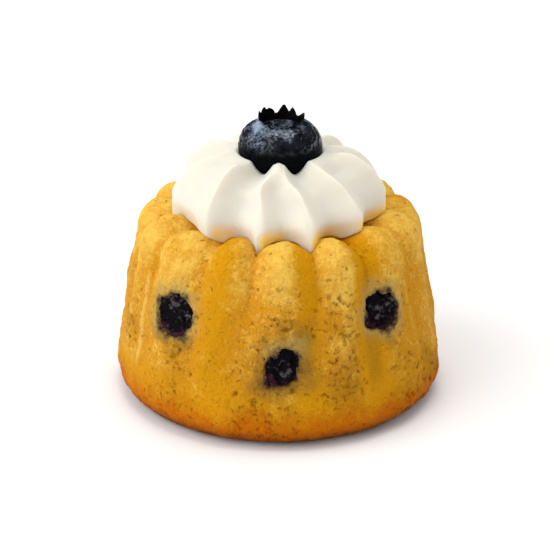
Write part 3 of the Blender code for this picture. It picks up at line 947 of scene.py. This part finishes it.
def sponge_finish(cake):
    """Golden crumb: paler on the lobes; deeper in the flutes, in bands and low down, all partly painted
    shade;
    olive where the crumb is open, brown at the foot, painted shade in its pores, pale seams that are partly
    painted highlights, and stained with juice round the baked berries."""
    shader = Shader(
        "golden_crumb",
        Subsurface_Weight=0.12,
        Subsurface_Radius=(1.0, 0.45, 0.1),
        Subsurface_Scale=0.8 * MM,
        Specular_IOR_Level=0.05,
    )
    height = shader.height()
    names = ("valley", "pit", "stain", "crowd", "rich_and_shade", "seam", "damp")
    valley, pit, stain, crowd, rich_and_shade, seam, damp = map(shader.attribute, names)
    patches = shader.noise(8 * MM, 3, 0.6) - 0.5
    blotch = shader.noise(2.2 * MM, 4, 0.65, 3.1) - 0.5
    grain = shader.noise(0.7 * MM, 3, 0.65, 7.0) - 0.5
    # below: 0 above 37 mm, 1 under 26 mm; the crumb grows darker towards the bottom, partly as painted shade
    below = shader.ramp(height, 37 * MM, 26 * MM)
    # painted shade: the flank colour deepens in the flutes (valley) and low down (below), on top of random
    # patches
    deep = valley * 0.4 + below * 0.35 + patches * 1.7 + blotch * 2.2 + grain * 1.2
    pale = shader.ramp(grain + blotch * 0.6, 0.02, 0.20) * (0.75 - below * 0.15)
    smooth = rich_and_shade + blotch * 1.3 + grain * 0.8
    # painted shade: where a band is deeper than 0.9 the crumb also turns olive, for shade away from the key
    # light
    painted_shade = shader.ramp(rich_and_shade + blotch * 0.3, 0.9, 1.5)
    damp = damp * (0.65 + patches * 1.2 + blotch)
    golden = (15 * MM - height) / (6 * MM) + patches + blotch * 0.6
    loose = crowd + (22 * MM - height) / (35 * MM) + blotch + patches
    low = (10.5 * MM - height) / (9 * MM) + patches * 1.1 + blotch * 0.8
    torn = shader.noise(1.1 * MM, 3, 0.5, 11.0) + crowd * 0.12 + patches * 0.08 - below * 0.02
    pores = shader.ramp(torn, 0.62, 0.76)
    shade = shader.ramp(grain - blotch * 0.8, 0.02, 0.30)
    # painted shade in the pores, the pits and the fine hollows of the crumb
    dark = shade * (0.25 + below * 0.25) + pores * 0.5 + pit * 0.6
    edge = shader.ramp(height + blotch * (3 * MM), 5.0 * MM, 0.6 * MM)
    juice = stain + blotch * 0.35 + grain * 0.35
    colour = shader.layers(
        cake.crest_colour,
        (cake.flank_colour, shader.ramp(deep, -0.25, 0.65)),
        (cake.pale_colour, pale),
        # pale along the raised seams, partly a painted highlight where their edges catch the light
        (cake.pale_colour, shader.ramp(seam + blotch, 0.2, 1) * 0.6),
        # deep bands, partly uneven baking and partly painted shade
        (cake.rich_colour, shader.ramp(smooth, 0, 1)),
        (cake.olive_colour, (painted_shade * 0.5 + 0.14) * below),
        (cake.dull_colour, shader.ramp(damp, 0, 1) * 0.88),
        # deeper colour towards the bottom, partly painted shade
        (cake.rich_colour, shader.ramp(golden, 0, 1) * 0.9),
        (cake.olive_colour, shader.ramp(loose, 0.5, 1.5) * 0.8),
        (cake.foot_colour, shader.ramp(low, 0, 0.8)),
        (cake.pore_colour, shader.ramp(dark, 0, 1)),
        (cake.edge_colour, edge * 0.9),
        (
            shader.blend(cake.halo_colour, cake.dull_colour, shader.ramp(height, 23 * MM, 18 * MM)),
            shader.ramp(juice, 0.15, 1) * 0.8,
        ),
        (cake.stain_colour, shader.ramp(juice, 0.74, 1.10)),
    )
    shader.bump(grain * 1.1 + blotch * 1.2 - pores * 0.7, 0.8 * MM, 0.8)
    return shader.finish(colour, 0.66 + grain * 0.4)


def cream_finish(cream):
    """Smooth whipped cream, lit through, with the faintest mottling, a few tiny bubbles and painted bounce
    light.
    """
    shader = Shader(
        "whipped_cream",
        Subsurface_Weight=0.9,
        Subsurface_Radius=(1.0, 0.85, 0.6),
        Subsurface_Scale=2.6 * MM,
        Specular_IOR_Level=0.25,
    )
    mottle = shader.noise(4 * MM, 3, 0.5)
    warmer = np.multiply(cream.cream_colour, (0.985, 0.97, 0.93))
    # painted bounce light: the crumb's warm colour on the cream's low, shaded side
    bounce_layer = (cream.bounce_colour, shader.attribute("painted_bounce"))
    colour = shader.layers(cream.cream_colour, (warmer, mottle), bounce_layer)
    fine = shader.noise(0.9 * MM, 4, 0.6, 1.7)
    bubble = shader.ramp(shader.cells(2.3 * MM), 0.10, 0.04)
    shader.bump(fine * 0.5 - bubble * 0.6, 0.06 * MM, 0.7)
    return shader.finish(colour, 0.38 + mottle * 0.14)


def blueberry_finish(berry):
    """Dark skin with a rubbed, patchy bloom that gathers round the dried flower, and a soft shine. Some bloom
    is a painted highlight.
    """
    shader = Shader("blueberry_skin", Specular_IOR_Level=0.02, Coat_Roughness=0.22, Coat_IOR=1.75)
    patches = shader.noise(2.4 * MM, 4, 0.6, 5.0) - 0.5
    rubbed = shader.noise(0.7 * MM, 4, 0.7, 2.0, (1, 1, 1.6)) - 0.5
    near, glossy, flower = map(shader.attribute, ("bloom", "glossy", "flower"))
    bloom = shader.ramp(near * 0.9 + patches * 1.6 + rubbed * 1.6, 0.3, 1.1) * shader.ramp(near, 0.05, 0.3)
    thin = shader.ramp(glossy * 0.5 + near + patches, 0.2, 1.2)
    coats = ((berry.navy_colour, thin), (berry.bloom_colour, bloom * 0.9), (berry.flower_colour, flower))
    shader.bump(rubbed * 0.35 + patches * 0.6, 0.16 * MM, 0.7)
    coat = glossy * shader.ramp(patches + rubbed * 0.5, -0.2, 0.15) * (1 - bloom)
    shader.feed(shader.skin.inputs["Coat Weight"], coat)
    return shader.finish(shader.layers(berry.skin_colour, *coats), 0.35 + bloom * 0.25 + rubbed * 0.25)


def baked_finish(baked):
    """Burst purple-black skin with redder pulp near the torn edge and a few dull grey patches."""
    shader = Shader("baked_blueberry", Specular_IOR_Level=0.03, Coat_Roughness=0.12)
    patches = shader.noise(1.8 * MM, 3, 0.6, 4.0) - 0.5
    specks = shader.noise(0.8 * MM, 3, 0.6, 8.0) - 0.5
    edge = shader.attribute("edge")
    red = shader.ramp(edge + patches * 1.6 + specks * 2.2, 0.4, 1)
    dull = shader.ramp(shader.noise(2.2 * MM, 2, 0.5, 12.0) - edge * 0.15 + specks * 0.6, 0.56, 0.70)
    colour = shader.layers(baked.skin_colour, (baked.pulp_colour, red), (baked.grey_colour, dull * 0.6))
    shader.bump(patches + specks * 0.4, 0.5 * MM, 0.9)
    shader.feed(shader.skin.inputs["Coat Weight"], shader.ramp(specks + patches * 0.5, 0.08, 0.22) * 0.35)
    return shader.finish(colour, 0.45 + specks * 0.2)


# ---- stage


def aimed(name, data, place, aim):
    """Adds a lamp or a camera at this place, turned towards the aim."""
    made = add(name, data)
    made.location = place
    made.rotation_euler = (Vector(aim) - Vector(place)).to_track_quat("-Z", "Y").to_euler()
    return made


def light(name, place, aim, size, power):
    """A square light of this size, at this place, turned towards the aim."""
    lamp = bpy.data.lights.new(name, "AREA")
    lamp.size = size
    lamp.energy = power
    aimed(name, lamp, place, aim)


def white_floor(stage):
    """A wide round sheet at height 0."""
    ring = place_round(all_round(FLOOR_COLUMNS)[0], FLOOR_RADIUS, 0)
    mesh = bpy.data.meshes.new("floor")
    mesh.from_pydata(ring.tolist(), [], [list(range(len(ring)))])
    shader = Shader("white_floor", Roughness=0.9, Specular_IOR_Level=0.1)
    shader.skin.inputs["Base Color"].default_value = (*stage.floor_colour, 1)
    mesh.materials.append(shader.material)
    add("floor", mesh)


def even_sky(stage):
    """Even white light from all round, which glossy skins mirror more dimly, as if from dark card."""
    world = bpy.data.worlds.new("even_sky")
    world.use_nodes = True
    nodes, links = world.node_tree.nodes, world.node_tree.links
    background = nodes["Background"]
    background.inputs["Color"].default_value = (1, 1, 1, 1)
    strength = nodes.new("ShaderNodeMath")
    strength.operation = "MULTIPLY_ADD"
    strength.inputs[1].default_value = stage.glint - stage.sky
    strength.inputs[2].default_value = stage.sky
    links.new(nodes.new("ShaderNodeLightPath").outputs["Is Glossy Ray"], strength.inputs[0])
    links.new(strength.outputs[0], background.inputs["Strength"])
    bpy.context.scene.world = world


def camera(stage):
    """Looks from the front, down at the elevation, at a point just above the middle of the cake."""
    down = math.radians(stage.elevation)
    middle = Vector((0, 0, stage.middle_height))
    data = bpy.data.cameras.new("camera")
    data.lens = stage.lens
    data.sensor_width = 36
    data.clip_start = 0.01
    place = middle + stage.distance * Vector((0, -math.cos(down), math.sin(down)))
    aim = middle + Vector((stage.aim_right, 0, stage.aim_up))
    bpy.context.scene.camera = aimed("camera", data, place, aim)


# ---- operators


class BUN_OT_make_sponge(bpy.types.Operator):
    """Makes the fluted sponge cake."""

    bl_idname = "bun.make_sponge"
    bl_label = "Make sponge"

    def execute(self, context):
        cake = context.scene.bun_sponge
        dress(sponge(cake), sponge_finish(cake), "sponge", "cake")
        return {"FINISHED"}


class BUN_OT_make_cream(bpy.types.Operator):
    """Pipes the rosette of whipped cream."""

    bl_idname = "bun.make_cream"
    bl_label = "Make cream"

    def execute(self, context):
        scene = context.scene
        piece = whipped_cream(scene.bun_sponge, scene.bun_cream, scene.bun_blueberry)
        dress(piece, cream_finish(scene.bun_cream), "cream", "cream")
        return {"FINISHED"}


class BUN_OT_make_blueberry(bpy.types.Operator):
    """Makes the whole blueberry on the cream."""

    bl_idname = "bun.make_blueberry"
    bl_label = "Make blueberry"

    def execute(self, context):
        berry = context.scene.bun_blueberry
        dress(blueberry(berry), blueberry_finish(berry), "berry", "berry")
        return {"FINISHED"}


class BUN_OT_make_baked_blueberries(bpy.types.Operator):
    """Makes the burst blueberries in the side of the cake."""

    bl_idname = "bun.make_baked_blueberries"
    bl_label = "Make baked blueberries"

    def execute(self, context):
        scene = context.scene
        material = baked_finish(scene.bun_baked)
        for name in BAKED:
            piece = baked_blueberry(scene.bun_sponge, scene.bun_baked, name)
            dress(piece, material, "baked_berry", "baked_berry_" + name)
        return {"FINISHED"}


class BUN_OT_set_stage(bpy.types.Operator):
    """Sets up the floor, the lights and the camera."""

    bl_idname = "bun.set_stage"
    bl_label = "Set stage"

    def execute(self, context):
        stage = context.scene.bun_stage
        white_floor(stage)
        even_sky(stage)
        aim = (0, 0, stage.middle_height)
        light("key", (-1.6, -0.65, 1.2), aim, 2.2, stage.key)
        light("overhead", (0.1, 0.3, 2.0), aim, 1.2, stage.fill)
        camera(stage)
        context.scene.view_settings.view_transform = "Standard"
        return {"FINISHED"}


SETTINGS = {
    "bun_sponge": SpongeSettings,
    "bun_cream": CreamSettings,
    "bun_blueberry": BlueberrySettings,
    "bun_baked": BakedSettings,
    "bun_stage": StageSettings,
}
OPERATORS = {
    BUN_OT_make_sponge: "bun_sponge",
    BUN_OT_make_cream: "bun_cream",
    BUN_OT_make_blueberry: "bun_blueberry",
    BUN_OT_make_baked_blueberries: "bun_baked",
    BUN_OT_set_stage: "bun_stage",
}


class BUN_PT_panel(bpy.types.Panel):
    """Lists what can be made, with the sizes and colours of each."""

    bl_idname = "BUN_PT_panel"
    bl_label = "Blueberry bun"
    bl_space_type = "VIEW_3D"
    bl_region_type = "UI"
    bl_category = "Bun"

    def draw(self, context):
        for operator, settings in OPERATORS.items():
            box = self.layout.box()
            box.operator(operator.bl_idname)
            values = getattr(context.scene, settings)
            for name in SETTINGS[settings].__annotations__:
                box.prop(values, name)


CLASSES = (*SETTINGS.values(), *OPERATORS, BUN_PT_panel)


def register():
    for each in CLASSES:
        bpy.utils.register_class(each)
    for name, group in SETTINGS.items():
        setattr(bpy.types.Scene, name, PointerProperty(type=group))


def unregister():
    for name in SETTINGS:
        delattr(bpy.types.Scene, name)
    for each in reversed(CLASSES):
        bpy.utils.unregister_class(each)


def main():
    register()
    bpy.ops.bun.make_sponge()
    bpy.ops.bun.make_cream()
    bpy.ops.bun.make_blueberry()
    bpy.ops.bun.make_baked_blueberries()
    bpy.ops.bun.set_stage()


if __name__ == "__main__":
    main()
